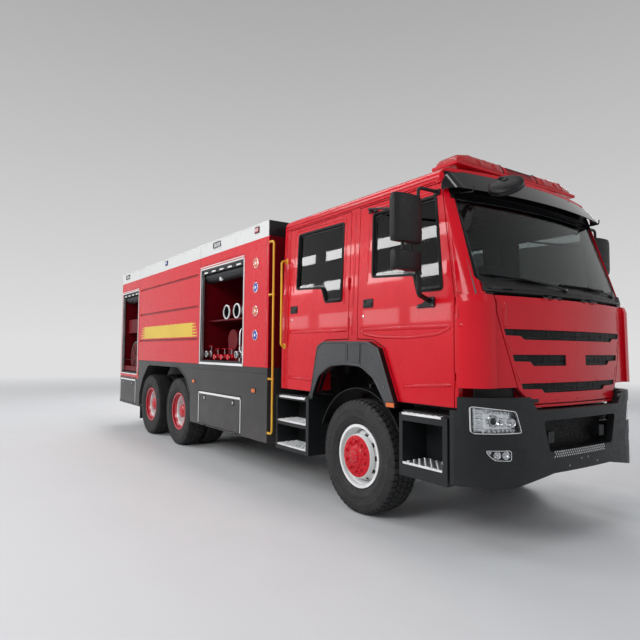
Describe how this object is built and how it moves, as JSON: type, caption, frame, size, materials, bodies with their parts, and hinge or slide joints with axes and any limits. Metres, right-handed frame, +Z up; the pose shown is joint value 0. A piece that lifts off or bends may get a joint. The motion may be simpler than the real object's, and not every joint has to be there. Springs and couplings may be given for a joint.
{
  "type": "fire engine water tanker",
  "caption": "Three-axle fire engine with a crew cab, water tank body, side lockers, hinged flaps and a roof monitor.",
  "frame": {"origin": "on the ground below the middle of the truck's length and width", "axes": "+X forward, +Y to the truck's left, +Z up"},
  "size_m": [9.62, 3.24, 3.432],
  "materials": {
    "red_paint": "gloss fire red",
    "white_paint": "gloss white",
    "grey_paint": "satin grey",
    "yellow_paint": "gloss yellow",
    "chassis_paint": "satin black",
    "wheel_paint": "gloss white",
    "engine_metal": "cast",
    "equipment_metal": "satin",
    "aluminium": "anodised",
    "tyre": "matt",
    "rubber": "matt",
    "window_glass": "clear",
    "lamp_glass": "clear",
    "black_plastic": "grained",
    "dark_plastic": "grained charcoal",
    "gloss_black": "gloss",
    "seat_fabric": "woven"
  },
  "bodies": {
    "chassis": {"frame_rails": "chassis_paint", "subframe": "chassis_paint", "engine": "engine_metal", "front_axle": "chassis_paint", "drive_axles": "chassis_paint", "cab_shell": "red_paint", "windscreen": "window_glass", "bumper": "dark_plastic", "front_lamps": "lamp_glass", "cab_steps": "dark_plastic", "wheel_arches": "dark_plastic", "sun_visor": "gloss_black", "light_bar": "lamp_glass", "seats": "seat_fabric", "dashboard": "black_plastic", "steering_wheel": "black_plastic", "front_locker": "red_paint", "tank_section": "red_paint", "rear_locker": "red_paint", "roof_deck": "white_paint", "skirts": "grey_paint", "mud_flaps": "rubber", "roller_shutters": "aluminium", "locker_fittings": "equipment_metal", "rear_ladder": "aluminium", "body_lamps": "lamp_glass", "handrails": "yellow_paint"},
    "knuckle_left": {"knuckle_left": "chassis_paint"},
    "knuckle_right": {"knuckle_right": "chassis_paint"},
    "front_wheel_left": {"wheel_front_left": "wheel_paint", "tyre_front_left": "tyre"},
    "front_wheel_right": {"wheel_front_right": "wheel_paint", "tyre_front_right": "tyre"},
    "mid_wheels_left": {"wheels_mid_left": "wheel_paint", "tyres_mid_left": "tyre"},
    "mid_wheels_right": {"wheels_mid_right": "wheel_paint", "tyres_mid_right": "tyre"},
    "rear_wheels_left": {"wheels_rear_left": "wheel_paint", "tyres_rear_left": "tyre"},
    "rear_wheels_right": {"wheels_rear_right": "wheel_paint", "tyres_rear_right": "tyre"},
    "front_door_left": {"door_front_left": "red_paint", "glass_front_left": "window_glass", "mirror_left": "black_plastic"},
    "front_door_right": {"door_front_right": "red_paint", "glass_front_right": "window_glass", "mirror_right": "black_plastic"},
    "rear_door_left": {"door_rear_left": "red_paint", "glass_rear_left": "window_glass"},
    "rear_door_right": {"door_rear_right": "red_paint", "glass_rear_right": "window_glass"},
    "grille_flap": {"front_panel": "red_paint", "grille": "black_plastic"},
    "front_flap_left": {"flap_front_left": "grey_paint"},
    "front_flap_right": {"flap_front_right": "grey_paint"},
    "rear_flap_left": {"flap_rear_left": "grey_paint"},
    "rear_flap_right": {"flap_rear_right": "grey_paint"},
    "tail_hatch": {"rear_hatch": "red_paint"},
    "monitor_turret": {"monitor_turret": "red_paint"},
    "monitor_barrel": {"monitor_barrel": "red_paint"}
  },
  "joints": [
    {"name": "steer_left", "type": "hinge", "parent": "chassis", "child": "knuckle_left", "pos_m": [3.21, 0.915, 0.538], "axis": [0, 0, 1], "range_deg": [-35, 35]},
    {"name": "spin_front_left", "type": "hinge", "parent": "knuckle_left", "child": "front_wheel_left", "pos_m": [3.21, 1.022, 0.538], "axis": [0, 1, 0], "continuous": true},
    {"name": "spin_mid_left", "type": "hinge", "parent": "chassis", "child": "mid_wheels_left", "pos_m": [-1.39, 0.9115, 0.538], "axis": [0, 1, 0], "continuous": true},
    {"name": "spin_rear_left", "type": "hinge", "parent": "chassis", "child": "rear_wheels_left", "pos_m": [-2.79, 0.9115, 0.538], "axis": [0, 1, 0], "continuous": true},
    {"name": "front_door_left", "type": "hinge", "parent": "chassis", "child": "front_door_left", "pos_m": [4.411, 1.15, 1.93], "axis": [0, 0, -1], "range_deg": [0, 70]},
    {"name": "rear_door_left", "type": "hinge", "parent": "chassis", "child": "rear_door_left", "pos_m": [3.054, 1.15, 1.93], "axis": [0, 0, -1], "range_deg": [0, 70]},
    {"name": "front_flap_left", "type": "hinge", "parent": "chassis", "child": "front_flap_left", "pos_m": [0.23, 1.25, 0.458], "axis": [-1, 0, 0], "range_deg": [0, 90]},
    {"name": "rear_flap_left", "type": "hinge", "parent": "chassis", "child": "rear_flap_left", "pos_m": [-4.175, 1.25, 0.476], "axis": [-1, 0, 0], "range_deg": [0, 90]},
    {"name": "steer_right", "type": "hinge", "parent": "chassis", "child": "knuckle_right", "pos_m": [3.21, -0.915, 0.538], "axis": [0, 0, 1], "range_deg": [-35, 35]},
    {"name": "spin_front_right", "type": "hinge", "parent": "knuckle_right", "child": "front_wheel_right", "pos_m": [3.21, -1.022, 0.538], "axis": [0, 1, 0], "continuous": true},
    {"name": "spin_mid_right", "type": "hinge", "parent": "chassis", "child": "mid_wheels_right", "pos_m": [-1.39, -0.9115, 0.538], "axis": [0, 1, 0], "continuous": true},
    {"name": "spin_rear_right", "type": "hinge", "parent": "chassis", "child": "rear_wheels_right", "pos_m": [-2.79, -0.9115, 0.538], "axis": [0, 1, 0], "continuous": true},
    {"name": "front_door_right", "type": "hinge", "parent": "chassis", "child": "front_door_right", "pos_m": [4.411, -1.15, 1.93], "axis": [0, 0, 1], "range_deg": [0, 70]},
    {"name": "rear_door_right", "type": "hinge", "parent": "chassis", "child": "rear_door_right", "pos_m": [3.054, -1.15, 1.93], "axis": [0, 0, 1], "range_deg": [0, 70]},
    {"name": "front_flap_right", "type": "hinge", "parent": "chassis", "child": "front_flap_right", "pos_m": [0.23, -1.25, 0.458], "axis": [1, 0, 0], "range_deg": [0, 90]},
    {"name": "rear_flap_right", "type": "hinge", "parent": "chassis", "child": "rear_flap_right", "pos_m": [-4.175, -1.25, 0.476], "axis": [1, 0, 0], "range_deg": [0, 90]},
    {"name": "grille_flap", "type": "hinge", "parent": "chassis", "child": "grille_flap", "pos_m": [4.7077, 0, 1.989], "axis": [0, -1, 0], "range_deg": [0, 75]},
    {"name": "tail_hatch", "type": "hinge", "parent": "chassis", "child": "tail_hatch", "pos_m": [-4.74, 0, 2.696], "axis": [0, 1, 0], "range_deg": [0, 90]},
    {"name": "monitor_pan", "type": "hinge", "parent": "chassis", "child": "monitor_turret", "pos_m": [0.71, 0, 3.2], "axis": [0, 0, 1], "range_deg": [-170, 170]},
    {"name": "monitor_tilt", "type": "hinge", "parent": "monitor_turret", "child": "monitor_barrel", "pos_m": [0.71, 0, 3.37], "axis": [0, -1, 0], "range_deg": [-15, 75]}
  ],
  "couplings": [
    {"joint": "steer_right", "follows": "steer_left", "ratio": 1}
  ]
}
